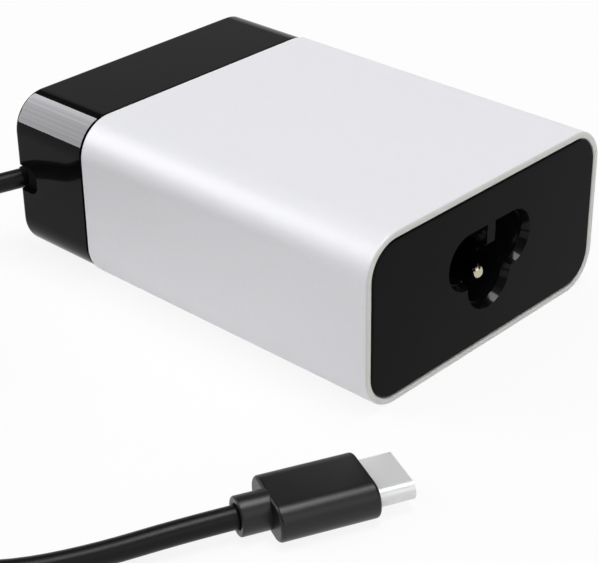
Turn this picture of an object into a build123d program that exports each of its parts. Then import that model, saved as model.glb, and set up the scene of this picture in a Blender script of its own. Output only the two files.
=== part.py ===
"""A 45 W laptop power adapter: metal-sleeved housing, mains inlet, circuit board and USB-C cord.

The origin is the middle of the housing's underside.  X runs across the housing, Y along it from
the mains inlet (low Y) to the rear cap (high Y), and Z is up.  All sizes are in millimetres.
"""
from build123d import *
from math import cos, pi, radians, sin, sqrt, tan
import os

# ---------------------------------------------------------------- driving dimensions: housing
body_width = 50.0
body_height = 25.4
body_length = 69.6
corner_radius = 5.7          # long edges of the housing
sleeve_wall = 1.0
rim_round = 0.3              # eased edges at both ends of the sleeve
cap_length = 15.2
cap_inset = 0.2              # the sleeve stands this far proud of the cap
shadow_groove = (0.5, 0.45)  # width and depth of the groove in the cap beside the sleeve
cap_edge_round = 0.8
cap_end_wall = 1.8
spigot_length = 3.0
spigot_wall = 1.3
panel_thickness = 1.5
panel_edge_round = 0.25
skirt_depth = 3.0            # the panel's plug-in rim behind its plate
skirt_wall = 1.0
inner_wall = 1.1             # tray and cover inside the sleeve
lap_height = 1.5             # tongue where cover meets tray
slip = 0.1                   # gap between mouldings that slide together

# ---------------------------------------------------------------- driving dimensions: inlet
inlet_offset = (0.35, 0.15)  # inlet's middle from the panel's middle, across and up
lobe_spacing = 9.4           # between the two upper lobes, and between the two live pins
upper_lobe_radius = 4.2
lower_lobe_radius = 4.7
upper_lobe_rise = 1.9        # centre of the upper lobes above the inlet's middle
lower_lobe_drop = 2.2        # centre of the lower lobe below the inlet's middle
key_width = 1.7
key_length = 3.0
mouth_flare = 0.45           # the panel's opening narrows by this much all round
mouth_flare_depth = 1.2
socket_step = 0.1            # the socket is this much tighter than the narrowed opening
socket_depth = 14.5          # from the panel's face
socket_back_wall = 2.3
socket_wall = 1.3
pin_radius = 1.15
pin_collar_radius = 1.6      # collar that holds the pin in the inlet's back wall
pin_tip_round = 0.9
earth_pin_recess = 1.4       # pin tips behind the panel's face
live_pin_recess = 3.0
tab_thickness = 0.8
tab_width = 2.9
tab_margin = 0.6             # tab metal above the pin
tab_standoff = 1.5           # pins reach this far out of the inlet's back before the tabs

# ---------------------------------------------------------------- driving dimensions: board
board_thickness = 1.6
board_edge_gap = 0.5
board_corner = 1.5
sheet_thickness = 0.3
rib_height = 0.5
rib_thickness = 1.2
rib_places = (0.3, 0.6, 0.9) # as shares of the tray's length
hole_gap = 0.1
part_gap = 0.8               # least gap between neighbouring components
lead_radius = 0.35
case_round = 0.5             # edges of moulded component cases and cans
package_round = 0.3          # edges of small packages and stamped metal
disc_edge_share = 0.4        # disc components: edge round as a share of thickness
disc_lead_share = 0.6        # and lead offset as a share of radius
disc_stand = 1.0             # and gap between disc and board
fuse_size = (4.0, 8.0)                      # depth, height
thermistor_size = (3.2, 4.2)                # thickness, disc radius
film_capacitor_height = 12.0
choke_radii = (3.4, 6.8)                    # toroid core, inside and outside
choke_core_height = 6.0
choke_winding = 1.1                         # wire build round the core
choke_winding_arc = 120.0                   # degrees of the core under each winding
bridge_size = (14.0, 3.4, 10.5)
bridge_hole_share = 0.6                     # height of its hole as a share of its own
bulk_diameter_max = 16.0
bulk_groove = (3.0, 1.0, 0.5)               # distance from the end, width, depth
transformer_width = 19.0
transformer_depth_max = 16.0
transformer_base_height = 2.4
core_depth_max = 9.0
core_leg = 2.7
core_post_radius_max = 3.4
bobbin_wall = 0.7
winding_build = 2.5
winding_margin = 0.3                        # winding inside the bobbin's flanges
transistor_size = (8.0, 3.0, 11.0)
transistor_lead_height = 2.4
transistor_lead_pitch = 2.3
transistor_lead_size = (0.8, 0.5)
transistor_hole_share = 0.66                # height of its hole as a share of its own
screw_radius = 1.4
screw_head_radius = 2.5
screw_head_height = 1.5
heatsink_size = (17.0, 1.5, 15.0)
disc_capacitor_size = (3.6, 4.5)            # thickness, disc radius
output_can = (4.0, 12.0)                    # radius, height
output_choke_size = (3.4, 8.0)
coupler_size = (4.4, 6.5, 3.5)
controller_size = (15.0, 1.0, 13.0)
chip_size = (5.0, 0.9, 5.0)
spreader_size = (34.0, 27.0, 0.6)
pad_thickness = 1.6
wire_radius = 0.55
wire_bend = 1.6

# ---------------------------------------------------------------- driving dimensions: cord
cord_diameter = 3.0
cord_rest = 0.05             # a lying cord's gap to the surface
exit_inset = 5.3             # where the cord leaves, from the cap's left side
exit_drop = 0.25             # and below mid-height
slot_height = 4.2            # slot round the cap's corner, which the grommet fills
slot_side_depth = 4.2        # how far the slot reaches along the cap's side
slot_rear_width = 9.6        # and along its end
slot_corner = 1.6
grommet_gap = 0.1
grommet_recess = (1.2, 0.8)  # how far the grommet lies below the cap's side and its end
flange_margin = 1.0
flange_depth = 3.0
nub_radius = 1.72
nub_end_radius = 1.65
wire_spacing = 2.4
coil_turn_radii = (14.8, 17.8, 20.8)
coil_layers = 4
coil_centre = (-71.1, 34.3)
coil_in_angle = 70.0
coil_out_angle = 185.0
coil_lead = 12.5             # straight cord that leaves the coil along a tangent
exit_route = [(-22.9, 36.6, 10.9), (-29.8, 40.2, 10.1), (-37.4, 44.0, 6.0)]
plug_route = [(-89.1, 1.3, 7.2), (-87.9, -8.6, 2.9), (-85.0, -18.2, 1.55),
              (-77.6, -26.6, 1.55), (-69.0, -31.7, 1.65)]
lead_run = 8.0               # first and last straight runs beside the coil and the plug
bend_share = 0.45            # share of a run that a bend at its end may take

# ---------------------------------------------------------------- driving dimensions: plug
plug_heading = -25.0         # degrees from +X
plug_start = (-53.35, -39.3)
collar_length = 3.8
collar_radius = 2.5
collar_end_round = 0.25
collar_bore_gap = 0.1
collar_bore_depth = 1.5
collar_mouth_round = 0.35    # flare where the cord enters the collar
overmould_length = 12.8
overmould_width = 10.4
overmould_height = 5.0
overmould_side_round = 2.4
overmould_end_round = 0.45
shell_width = 8.34
shell_height = 2.56
shell_reach = 4.8
shell_wall = 0.25
shell_seat = 3.2
plug_pocket_depth = 9.5
plug_board_size = (7.6, 1.0, 5.6)
tongue_slot_width = 6.9
tongue_slot_height = 1.1
tongue_slot_depth = 5.6
contact_count = 12
contact_pitch = 0.5
contact_size = (0.25, 0.12, 4.6)
latch_size = (0.3, 0.5, 3.2)
insert_setback = 0.1

# ---------------------------------------------------------------- places worked out from them
mid_z = body_height / 2
front_y = -body_length / 2
rear_y = body_length / 2
joint_y = rear_y - cap_length
sleeve_length = body_length - cap_length
cord_radius = cord_diameter / 2
nearly_half = 0.49           # corner radius as a share of a height, for a full round side
REARWARD = (0, 1, 0)
FRONTWARD = (0, -1, 0)
UPWARD = (0, 0, 1)


def across(y):
    """Plane across the housing at y, seen from the front, centred at mid-height."""
    return Plane(origin=(0, y, mid_z), x_dir=(1, 0, 0), z_dir=(0, -1, 0))


def across_inlet(y):
    """The same kind of plane, centred on the inlet."""
    return Plane(origin=(inlet_offset[0], y, mid_z + inlet_offset[1]), x_dir=(1, 0, 0),
                 z_dir=(0, -1, 0))


def save(builder, name):
    """Label a finished piece and write it to its own file."""
    builder.part.label = name
    export_step(builder.part, f"parts/{name}.step")


os.makedirs("parts", exist_ok=True)


# ================================================================ housing
inner_width = body_width - 2 * sleeve_wall
inner_height = body_height - 2 * sleeve_wall
inner_radius = corner_radius - sleeve_wall

with BuildPart() as sleeve:
    with BuildSketch(across(front_y)):
        RectangleRounded(body_width, body_height, corner_radius)
        RectangleRounded(inner_width, inner_height, inner_radius, mode=Mode.SUBTRACT)
    extrude(amount=sleeve_length, dir=REARWARD)
    fillet(sleeve.edges().group_by(Axis.Y)[0] + sleeve.edges().group_by(Axis.Y)[-1], rim_round)
save(sleeve, "sleeve")


def cloverleaf(grow):
    """Three-lobed inlet outline, flat on top with a key rib hanging from the flat."""
    top = upper_lobe_rise + upper_lobe_radius + grow
    with Locations((-lobe_spacing / 2, upper_lobe_rise), (lobe_spacing / 2, upper_lobe_rise)):
        Circle(upper_lobe_radius + grow)
    with Locations((0, -lower_lobe_drop)):
        Circle(lower_lobe_radius + grow)
    with Locations((0, (upper_lobe_rise + top) / 2)):
        Rectangle(lobe_spacing, top - upper_lobe_rise)
    with Locations((0, top)):
        Rectangle(key_width, 2 * (key_length + grow), mode=Mode.SUBTRACT)


plug_in_width = inner_width - 2 * slip
plug_in_height = inner_height - 2 * slip
plug_in_radius = inner_radius - slip
bay_width = plug_in_width - 2 * inner_wall
bay_height = plug_in_height - 2 * inner_wall
bay_radius = plug_in_radius - inner_wall
panel_back_y = front_y + panel_thickness

with BuildPart() as front_panel:
    with BuildSketch(across(front_y)):
        RectangleRounded(plug_in_width, plug_in_height, plug_in_radius)
    extrude(amount=panel_thickness, dir=REARWARD)
    with BuildSketch(across(panel_back_y)):
        RectangleRounded(bay_width - 2 * slip, bay_height - 2 * slip, bay_radius - slip)
        RectangleRounded(bay_width - 2 * slip - 2 * skirt_wall, bay_height - 2 * slip - 2 * skirt_wall,
                         bay_radius - slip - skirt_wall, mode=Mode.SUBTRACT)
    extrude(amount=skirt_depth, dir=REARWARD)
    fillet(front_panel.edges().group_by(Axis.Y)[0], panel_edge_round)
    with BuildSketch(across_inlet(front_y)):
        cloverleaf(0)
    with BuildSketch(across_inlet(front_y + mouth_flare_depth)):
        cloverleaf(-mouth_flare)
    loft(ruled=True, mode=Mode.SUBTRACT)
    with BuildSketch(across_inlet(front_y + mouth_flare_depth)):
        cloverleaf(-mouth_flare)
    extrude(amount=panel_thickness - mouth_flare_depth, dir=REARWARD, mode=Mode.SUBTRACT)
save(front_panel, "front_panel")

# ================================================================ mains inlet
socket_end_y = front_y + socket_depth
inlet_rear_y = socket_end_y + socket_back_wall
inlet_width = lobe_spacing + 2 * (upper_lobe_radius + socket_wall)
inlet_top = upper_lobe_rise + upper_lobe_radius + socket_wall
inlet_bottom = -lower_lobe_drop - lower_lobe_radius - socket_wall
inlet_x, inlet_z = inlet_offset[0], mid_z + inlet_offset[1]
pins = {
    "line_pin": (inlet_x - lobe_spacing / 2, inlet_z + upper_lobe_rise, live_pin_recess),
    "neutral_pin": (inlet_x + lobe_spacing / 2, inlet_z + upper_lobe_rise, live_pin_recess),
    "earth_pin": (inlet_x, inlet_z - lower_lobe_drop, earth_pin_recess),
}
pin_axes = [(x, z) for x, z, _ in pins.values()]

with BuildPart() as inlet_body:
    with BuildSketch(across_inlet(panel_back_y)):
        with Locations((0, (inlet_top + inlet_bottom) / 2)):
            RectangleRounded(inlet_width, inlet_top - inlet_bottom, upper_lobe_radius)
    extrude(amount=inlet_rear_y - panel_back_y, dir=REARWARD)
    with BuildSketch(across_inlet(panel_back_y)):
        cloverleaf(-mouth_flare - socket_step)
    extrude(amount=socket_end_y - panel_back_y, dir=REARWARD, mode=Mode.SUBTRACT)
    with BuildSketch(across(socket_end_y)):
        with Locations(*[(x, z - mid_z) for x, z in pin_axes]):
            Circle(pin_collar_radius)
    extrude(amount=socket_back_wall, dir=REARWARD, mode=Mode.SUBTRACT)
save(inlet_body, "inlet_body")

tab_y = inlet_rear_y + tab_standoff
pin_end_y = tab_y + tab_thickness
for pin_name, (pin_x, pin_z, pin_recess) in pins.items():
    with BuildPart() as pin:
        with BuildSketch(Plane(origin=(pin_x, front_y + pin_recess, pin_z), z_dir=REARWARD)):
            Circle(pin_radius)
        extrude(amount=pin_end_y - front_y - pin_recess)
        fillet(pin.edges().group_by(Axis.Y)[0], pin_tip_round)
        with BuildSketch(Plane(origin=(pin_x, socket_end_y, pin_z), z_dir=REARWARD)):
            Circle(pin_collar_radius)
        extrude(amount=socket_back_wall)
    save(pin, pin_name)

# ================================================================ tray, cover and board
tray_front_y = panel_back_y + slip
tray_rear_y = joint_y - spigot_length - slip
tray_length = tray_rear_y - tray_front_y
floor_z = mid_z - bay_height / 2
roof_z = mid_z + bay_height / 2
board_bottom = floor_z + rib_height + sheet_thickness
board_top = board_bottom + board_thickness
spigot_half = plug_in_width / 2 - spigot_wall
spigot_radius = plug_in_radius - spigot_wall
spigot_floor_z = mid_z - plug_in_height / 2 + spigot_wall


def half_width_at(half_width, radius, height):
    """Half the room across a round-cornered channel at a height above its floor."""
    fall = max(radius - height, 0)
    return half_width - radius + sqrt(radius**2 - fall**2)


board_half_width = min(
    half_width_at(bay_width / 2, bay_radius, board_bottom - floor_z),
    half_width_at(spigot_half, spigot_radius, board_bottom - spigot_floor_z),
) - board_edge_gap
board_front_y = panel_back_y + skirt_depth + board_edge_gap
board_rear_y = rear_y - cap_end_wall - flange_depth - slip
lap_wall = inner_wall / 2


def half_ring(keep_low, grow):
    """Sketch of the tray's or cover's wall, with its half of the lap joint."""
    RectangleRounded(plug_in_width, plug_in_height, plug_in_radius)
    RectangleRounded(bay_width, bay_height, bay_radius, mode=Mode.SUBTRACT)
    side = -1 if keep_low else 1
    with Locations((0, -side * plug_in_height / 2)):
        Rectangle(plug_in_width, plug_in_height, mode=Mode.SUBTRACT)
    lap_mode = Mode.ADD if keep_low else Mode.SUBTRACT
    with Locations((-(bay_width + lap_wall) / 2 - grow / 2, lap_height / 2),
                   ((bay_width + lap_wall) / 2 + grow / 2, lap_height / 2)):
        Rectangle(lap_wall + grow, lap_height + grow, mode=lap_mode)


rib_positions = [tray_front_y + tray_length * share for share in rib_places]

with BuildPart() as inner_tray:
    with BuildSketch(across(tray_front_y)):
        half_ring(True, 0)
    extrude(amount=tray_length, dir=REARWARD)
    with BuildSketch(Plane.XY.offset(floor_z)):
        with Locations(*[(0, y) for y in rib_positions]):
            Rectangle(2 * (bay_width / 2 - bay_radius), rib_thickness)
    extrude(amount=rib_height)
save(inner_tray, "inner_tray")

with BuildPart() as inner_cover:
    with BuildSketch(across(tray_front_y)):
        half_ring(False, slip)
    extrude(amount=tray_length, dir=REARWARD)
save(inner_cover, "inner_cover")

with BuildPart() as insulating_sheet:
    with BuildSketch(Plane.XY.offset(floor_z + rib_height)):
        with Locations((0, (board_front_y + tray_rear_y) / 2)):
            Rectangle(2 * (bay_width / 2 - bay_radius), tray_rear_y - board_front_y)
    extrude(amount=sheet_thickness)
save(insulating_sheet, "insulating_sheet")

notch_half_width = inlet_width / 2 + abs(inlet_x) + board_edge_gap
notch_rear_y = inlet_rear_y + board_edge_gap
tab_hole = (tab_width + 2 * hole_gap, tab_thickness + 2 * hole_gap)

with BuildPart() as main_board:
    with BuildSketch(Plane.XY.offset(board_bottom)):
        with Locations((0, (board_front_y + board_rear_y) / 2)):
            RectangleRounded(2 * board_half_width, board_rear_y - board_front_y,
                             board_corner)
        with Locations((0, board_front_y)):
            Rectangle(2 * notch_half_width, 2 * (notch_rear_y - board_front_y), mode=Mode.SUBTRACT)
        with Locations(*[(x, tab_y + tab_thickness / 2) for x, _ in pin_axes]):
            Rectangle(*tab_hole, mode=Mode.SUBTRACT)
    extrude(amount=board_thickness)
save(main_board, "main_board")

with BuildPart() as terminal_tabs:
    for tab_x, tab_z in pin_axes:
        tab_top = tab_z + pin_radius + tab_margin
        with BuildSketch(Plane(origin=(tab_x, tab_y, 0), x_dir=(1, 0, 0), z_dir=FRONTWARD)):
            with Locations((0, (tab_top + board_bottom) / 2)):
                Rectangle(tab_width, tab_top - board_bottom)
            with Locations((0, tab_z)):
                Circle(pin_radius, mode=Mode.SUBTRACT)
        extrude(amount=tab_thickness, dir=REARWARD)
save(terminal_tabs, "terminal_tabs")

# ================================================================ components on the board
wing_x = (notch_half_width + board_half_width) / 2
wing_width = board_half_width - notch_half_width - 2 * part_gap
wing_front_y = board_front_y + part_gap
row_front_y = pin_end_y + part_gap
controller_y = board_rear_y - wire_bend - wire_radius - part_gap - controller_size[1]
chip_front_y = controller_y - chip_size[1]


def standing_block(centre_x, low_y, low_z, size, edge_round):
    """Box of (width, depth, height) standing at low_z with its front face at low_y."""
    with BuildPart(mode=Mode.PRIVATE) as block:
        with BuildSketch(Plane.XY.offset(low_z)):
            with Locations((centre_x, low_y + size[1] / 2)):
                RectangleRounded(size[0], size[1], edge_round)
        extrude(amount=size[2])
    return block.part


def standing_disc(centre, thickness, radius, facing):
    """Round-edged disc whose flat faces look along facing, with two leads down to the board."""
    centre_point = Vector(*centre)
    along = Vector(*facing)
    spread = along.cross(Vector(*UPWARD)) * radius * disc_lead_share
    with BuildPart(mode=Mode.PRIVATE) as disc:
        with BuildSketch(Plane(origin=centre_point - along * thickness / 2, z_dir=along)):
            Circle(radius)
        extrude(amount=thickness)
        fillet(disc.edges(), thickness * disc_edge_share)
        for lead_spot in (centre_point + spread, centre_point - spread):
            with BuildSketch(Plane(origin=(lead_spot.X, lead_spot.Y, board_top))):
                Circle(lead_radius)
            extrude(amount=centre_point.Z - board_top)
    return disc.part


with BuildPart() as fuse:
    add(standing_block(-wing_x, wing_front_y, board_top, (wing_width, *fuse_size), case_round))
    fillet(fuse.edges().group_by(Axis.Z)[-1], package_round)
save(fuse, "fuse")

thermistor_y = wing_front_y + fuse_size[0] + part_gap + thermistor_size[0] / 2
with BuildPart() as inrush_thermistor:
    add(standing_disc((-wing_x, thermistor_y, board_top + disc_stand + thermistor_size[1]),
                      thermistor_size[0], min(thermistor_size[1], wing_width / 2), REARWARD))
save(inrush_thermistor, "inrush_thermistor")

with BuildPart() as film_capacitor:
    film_length = row_front_y - part_gap - wing_front_y
    add(standing_block(wing_x, wing_front_y, board_top,
                       (wing_width, film_length, film_capacitor_height), case_round))
    fillet(film_capacitor.edges().group_by(Axis.Z)[-1], package_round)
save(film_capacitor, "film_capacitor")

# Mains filter choke: a toroid core with two separate windings, lying on the board.
choke_radius = choke_radii[1] + choke_winding
choke_x = -board_half_width + choke_radius
choke_y = row_front_y + choke_radius
choke_mid_z = board_top + choke_winding + choke_core_height / 2
choke_axis = Plane(origin=(choke_x, choke_y, choke_mid_z), x_dir=(1, 0, 0), z_dir=FRONTWARD)
core_middle = (choke_radii[0] + choke_radii[1]) / 2
core_width = choke_radii[1] - choke_radii[0]

with BuildPart() as choke_core:
    with BuildSketch(choke_axis):
        with Locations((core_middle, 0)):
            RectangleRounded(core_width, choke_core_height, case_round)
    revolve(axis=Axis((choke_x, choke_y, 0), UPWARD), revolution_arc=360)
save(choke_core, "choke_core")

with BuildPart() as choke_windings:
    for start_angle in (-choke_winding_arc / 2, 180 - choke_winding_arc / 2):
        toward = (cos(radians(start_angle)), sin(radians(start_angle)), 0)
        with BuildSketch(Plane(origin=choke_axis.origin, x_dir=toward,
                               z_dir=(toward[1], -toward[0], 0))):
            with Locations((core_middle, 0)):
                RectangleRounded(core_width + 2 * choke_winding,
                                 choke_core_height + 2 * choke_winding,
                                 choke_winding + case_round)
                RectangleRounded(core_width, choke_core_height, case_round, mode=Mode.SUBTRACT)
        revolve(axis=Axis((choke_x, choke_y, 0), UPWARD),
                revolution_arc=choke_winding_arc)
save(choke_windings, "choke_windings")

bridge_x = choke_x + choke_radius + part_gap + bridge_size[0] / 2
with BuildPart() as bridge_rectifier:
    add(standing_block(bridge_x, row_front_y, board_top, bridge_size, package_round))
    with BuildSketch(Plane(origin=(bridge_x, row_front_y,
                                   board_top + bridge_size[2] * bridge_hole_share),
                           z_dir=REARWARD)):
        Circle(screw_radius)
    extrude(amount=bridge_size[1], mode=Mode.SUBTRACT)
save(bridge_rectifier, "bridge_rectifier")

# Heat spreader under the cover sets how tall the parts below may be.
headroom_z = roof_z - spreader_size[2]
transformer_x = -board_half_width + transformer_width / 2
transformer_front_y = choke_y + choke_radius + part_gap
transistor_stack = part_gap + heatsink_size[1] + transistor_size[1] + screw_head_height + part_gap
transformer_depth = min(transformer_depth_max,
                        chip_front_y - transistor_stack - transformer_front_y)
transformer_y = transformer_front_y + transformer_depth / 2
core_bottom_z = board_top + transformer_base_height
core_top_z = headroom_z - pad_thickness
core_height = core_top_z - core_bottom_z
window_height = core_height - 2 * core_leg
window_z = (core_bottom_z + core_top_z) / 2
core_depth = min(core_depth_max, transformer_depth)
core_post_radius = min(core_post_radius_max, transformer_depth / 2 - bobbin_wall - winding_build)
winding_radius = min(core_post_radius + 2 * bobbin_wall + winding_build,
                     transformer_width / 2 - core_leg, transformer_depth / 2)
core_plane = Plane(origin=(transformer_x, transformer_y - core_depth / 2, window_z),
                   x_dir=(1, 0, 0), z_dir=FRONTWARD)

with BuildPart() as transformer_core:
    with BuildSketch(core_plane):
        Rectangle(transformer_width, core_height)
        Rectangle(transformer_width - 2 * core_leg, window_height, mode=Mode.SUBTRACT)
    extrude(amount=core_depth, dir=REARWARD)
    with BuildSketch(Plane(origin=(transformer_x, transformer_y, window_z - window_height / 2))):
        Circle(core_post_radius)
    extrude(amount=window_height)
save(transformer_core, "transformer_core")

with BuildPart() as transformer_bobbin:
    with BuildSketch(Plane.XY.offset(window_z - window_height / 2)):
        with Locations((transformer_x, transformer_y)):
            Circle(core_post_radius + bobbin_wall)
    extrude(amount=window_height)
    with BuildSketch(Plane.XY.offset(window_z - window_height / 2),
                     Plane.XY.offset(window_z + window_height / 2 - bobbin_wall)):
        with Locations((transformer_x, transformer_y)):
            Circle(winding_radius)
    extrude(amount=bobbin_wall)
    with BuildSketch(Plane.XY.offset(window_z - window_height / 2)):
        with Locations((transformer_x, transformer_y)):
            Circle(core_post_radius)
    extrude(amount=window_height, mode=Mode.SUBTRACT)
save(transformer_bobbin, "transformer_bobbin")

with BuildPart() as transformer_winding:
    with BuildSketch(Plane.XY.offset(window_z - window_height / 2 + bobbin_wall)):
        with Locations((transformer_x, transformer_y)):
            Circle(winding_radius - winding_margin)
            Circle(core_post_radius + bobbin_wall, mode=Mode.SUBTRACT)
    extrude(amount=window_height - 2 * bobbin_wall)
save(transformer_winding, "transformer_winding")

with BuildPart() as transformer_base:
    add(standing_block(transformer_x, transformer_front_y, board_top,
                       (transformer_width, transformer_depth, transformer_base_height),
                       case_round))
save(transformer_base, "transformer_base")

with BuildPart() as thermal_pad:
    with BuildSketch(Plane.XY.offset(core_top_z)):
        with Locations((transformer_x, transformer_y)):
            Rectangle(transformer_width, core_depth)
    extrude(amount=pad_thickness)
save(thermal_pad, "thermal_pad")

with BuildPart() as heat_spreader:
    with BuildSketch(Plane.XY.offset(headroom_z)):
        with Locations((0, (tray_front_y + tray_rear_y) / 2)):
            Rectangle(min(spreader_size[0], bay_width - 2 * bay_radius),
                      min(spreader_size[1], tray_length))
    extrude(amount=spreader_size[2])
save(heat_spreader, "heat_spreader")

# Bulk capacitor: a can that lies along the board and fills its bay.
bulk_front_y = row_front_y + bridge_size[1] + part_gap
output_can_y = board_rear_y - part_gap - output_can[0]
bulk_length = output_can_y - output_can[0] - part_gap - bulk_front_y
bulk_left = transformer_x + transformer_width / 2 + disc_capacitor_size[0] + 2 * part_gap
bulk_radius = min(bulk_diameter_max, board_half_width - bulk_left, headroom_z - board_top) / 2
bulk_x = board_half_width - bulk_radius
bulk_z = board_top + bulk_radius
with BuildPart() as bulk_capacitor:
    with BuildSketch(Plane(origin=(bulk_x, bulk_front_y, bulk_z), z_dir=REARWARD)):
        Circle(bulk_radius)
    extrude(amount=bulk_length)
    fillet(bulk_capacitor.edges().filter_by(GeomType.CIRCLE), case_round)
    with BuildSketch(Plane(origin=(bulk_x, bulk_front_y + bulk_groove[0], bulk_z),
                           z_dir=REARWARD)):
        Circle(bulk_radius)
        Circle(bulk_radius - bulk_groove[2], mode=Mode.SUBTRACT)
    extrude(amount=bulk_groove[1], mode=Mode.SUBTRACT)
save(bulk_capacitor, "bulk_capacitor")

# The safety capacitor and the optocoupler bridge the gap between the two sides.
gap_x = (transformer_x + transformer_width / 2 + bulk_x - bulk_radius) / 2
disc_y = transformer_y
with BuildPart() as safety_capacitor:
    add(standing_disc((gap_x, disc_y, board_top + disc_stand + disc_capacitor_size[1]),
                      disc_capacitor_size[0], disc_capacitor_size[1], (1, 0, 0)))
save(safety_capacitor, "safety_capacitor")

with BuildPart() as optocoupler:
    add(standing_block(gap_x, disc_y - disc_capacitor_size[1] - part_gap - coupler_size[1],
                       board_top, coupler_size, package_round))
save(optocoupler, "optocoupler")

# Switching transistor clamped to its heatsink by one screw.
heatsink_y = transformer_front_y + transformer_depth + part_gap
heatsink_x = -board_half_width + heatsink_size[0] / 2 + part_gap
screw_z = board_top + transistor_lead_height + transistor_size[2] * transistor_hole_share
transistor_y = heatsink_y + heatsink_size[1]
with BuildPart() as heatsink:
    add(standing_block(heatsink_x, heatsink_y, board_top, heatsink_size, package_round))
    with BuildSketch(Plane(origin=(heatsink_x, heatsink_y, screw_z), z_dir=REARWARD)):
        Circle(screw_radius)
    extrude(amount=heatsink_size[1], mode=Mode.SUBTRACT)
save(heatsink, "heatsink")

with BuildPart() as switch_transistor:
    add(standing_block(heatsink_x, transistor_y, board_top + transistor_lead_height,
                       transistor_size, package_round))
    with BuildSketch(Plane.XY.offset(board_top)):
        with Locations((heatsink_x, transistor_y + transistor_size[1] / 2)):
            with GridLocations(transistor_lead_pitch, 0, 3, 1):
                Rectangle(*transistor_lead_size)
    extrude(amount=transistor_lead_height)
    with BuildSketch(Plane(origin=(heatsink_x, transistor_y, screw_z), z_dir=REARWARD)):
        Circle(screw_radius)
    extrude(amount=transistor_size[1], mode=Mode.SUBTRACT)
save(switch_transistor, "switch_transistor")

with BuildPart() as clamp_screw:
    with BuildSketch(Plane(origin=(heatsink_x, heatsink_y, screw_z), z_dir=REARWARD)):
        Circle(screw_radius)
    extrude(amount=heatsink_size[1] + transistor_size[1])
    with BuildSketch(Plane(origin=(heatsink_x, transistor_y + transistor_size[1], screw_z),
                           z_dir=REARWARD)):
        Circle(screw_head_radius)
    extrude(amount=screw_head_height)
    fillet(clamp_screw.edges().group_by(Axis.Y)[-1], case_round)
save(clamp_screw, "clamp_screw")

# Output side, along the board's rear edge.
output_can_x = board_half_width - output_can[0]
with BuildPart() as output_capacitors:
    with BuildSketch(Plane.XY.offset(board_top)):
        with Locations((output_can_x, output_can_y),
                       (output_can_x - 2 * output_can[0] - part_gap, output_can_y)):
            Circle(output_can[0])
    extrude(amount=output_can[1])
    fillet(output_capacitors.edges().group_by(Axis.Z)[-1], case_round)
save(output_capacitors, "output_capacitors")

output_choke_x = output_can_x - 3 * output_can[0] - 2 * part_gap - output_choke_size[0]
with BuildPart() as output_choke:
    with BuildSketch(Plane.XY.offset(board_top)):
        with Locations((output_choke_x, board_rear_y - part_gap - output_choke_size[0])):
            Circle(output_choke_size[0])
    extrude(amount=output_choke_size[1])
    fillet(output_choke.edges().group_by(Axis.Z)[-1], case_round)
save(output_choke, "output_choke")

controller_left = -board_half_width + part_gap
controller_width = min(controller_size[0],
                       output_choke_x - output_choke_size[0] - part_gap - controller_left)
controller_x = controller_left + controller_width / 2
with BuildPart() as controller_board:
    add(standing_block(controller_x, controller_y, board_top,
                       (controller_width, *controller_size[1:]), package_round))
save(controller_board, "controller_board")

with BuildPart() as controller_chip:
    add(standing_block(controller_x, chip_front_y, board_top + controller_size[2] / 2,
                       chip_size, package_round))
save(controller_chip, "controller_chip")

# ================================================================ rear cap and cord grommet
cap_width = body_width - 2 * cap_inset
cap_height = body_height - 2 * cap_inset
cap_left = -cap_width / 2
cap_wall_x = -spigot_half                   # inner face of the cap's left wall
cap_floor_y = rear_y - cap_end_wall         # inner face of the cap's end wall
exit_z = mid_z - exit_drop
exit_x = cap_left + exit_inset
slot_front_y = rear_y - slot_side_depth
slot_right_x = cap_left + slot_rear_width


def corner_slot(shrink, side_recess, rear_recess):
    """Fill of the slot round the cap's corner, set back from the cap's side and end faces."""
    height = slot_height - 2 * shrink
    side_start, rear_end = slot_front_y + shrink, slot_right_x - shrink
    side_x, end_y = cap_left + side_recess, rear_y - rear_recess
    with BuildPart(mode=Mode.PRIVATE) as slot:
        with BuildSketch(Plane(origin=(side_x, 0, exit_z), x_dir=(0, 1, 0), z_dir=(1, 0, 0))):
            with Locations(((side_start + end_y) / 2 + slot_corner, 0)):
                RectangleRounded(end_y - side_start + 2 * slot_corner, height, slot_corner)
            with Locations((end_y + 2 * slot_corner, 0)):
                Rectangle(4 * slot_corner, slot_height, mode=Mode.SUBTRACT)
        extrude(amount=cap_wall_x - side_x)
        with BuildSketch(Plane(origin=(0, end_y, exit_z), x_dir=(1, 0, 0), z_dir=FRONTWARD)):
            with Locations(((side_x + rear_end) / 2 - slot_corner, 0)):
                RectangleRounded(rear_end - side_x + 2 * slot_corner, height, slot_corner)
            with Locations((side_x - 2 * slot_corner, 0)):
                Rectangle(4 * slot_corner, slot_height, mode=Mode.SUBTRACT)
        extrude(amount=end_y - cap_floor_y)
    return slot.part


groove_width, groove_depth = shadow_groove
with BuildPart() as rear_cap:
    with BuildSketch(across(joint_y)):
        RectangleRounded(cap_width - 2 * groove_depth, cap_height - 2 * groove_depth,
                         corner_radius - cap_inset - groove_depth)
    extrude(amount=groove_width, dir=REARWARD)
    with BuildSketch(across(joint_y + groove_width)):
        RectangleRounded(cap_width, cap_height, corner_radius - cap_inset)
    extrude(amount=cap_length - groove_width, dir=REARWARD)
    fillet(rear_cap.edges().group_by(Axis.Y)[-1], cap_edge_round)
    with BuildSketch(across(joint_y - spigot_length)):
        RectangleRounded(plug_in_width, plug_in_height, plug_in_radius)
    extrude(amount=spigot_length, dir=REARWARD)
    with BuildSketch(across(joint_y - spigot_length)):
        RectangleRounded(2 * spigot_half, plug_in_height - 2 * spigot_wall, spigot_radius)
    extrude(amount=cap_floor_y - joint_y + spigot_length, dir=REARWARD, mode=Mode.SUBTRACT)
    add(corner_slot(0, 0, 0), mode=Mode.SUBTRACT)
save(rear_cap, "rear_cap")

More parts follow.
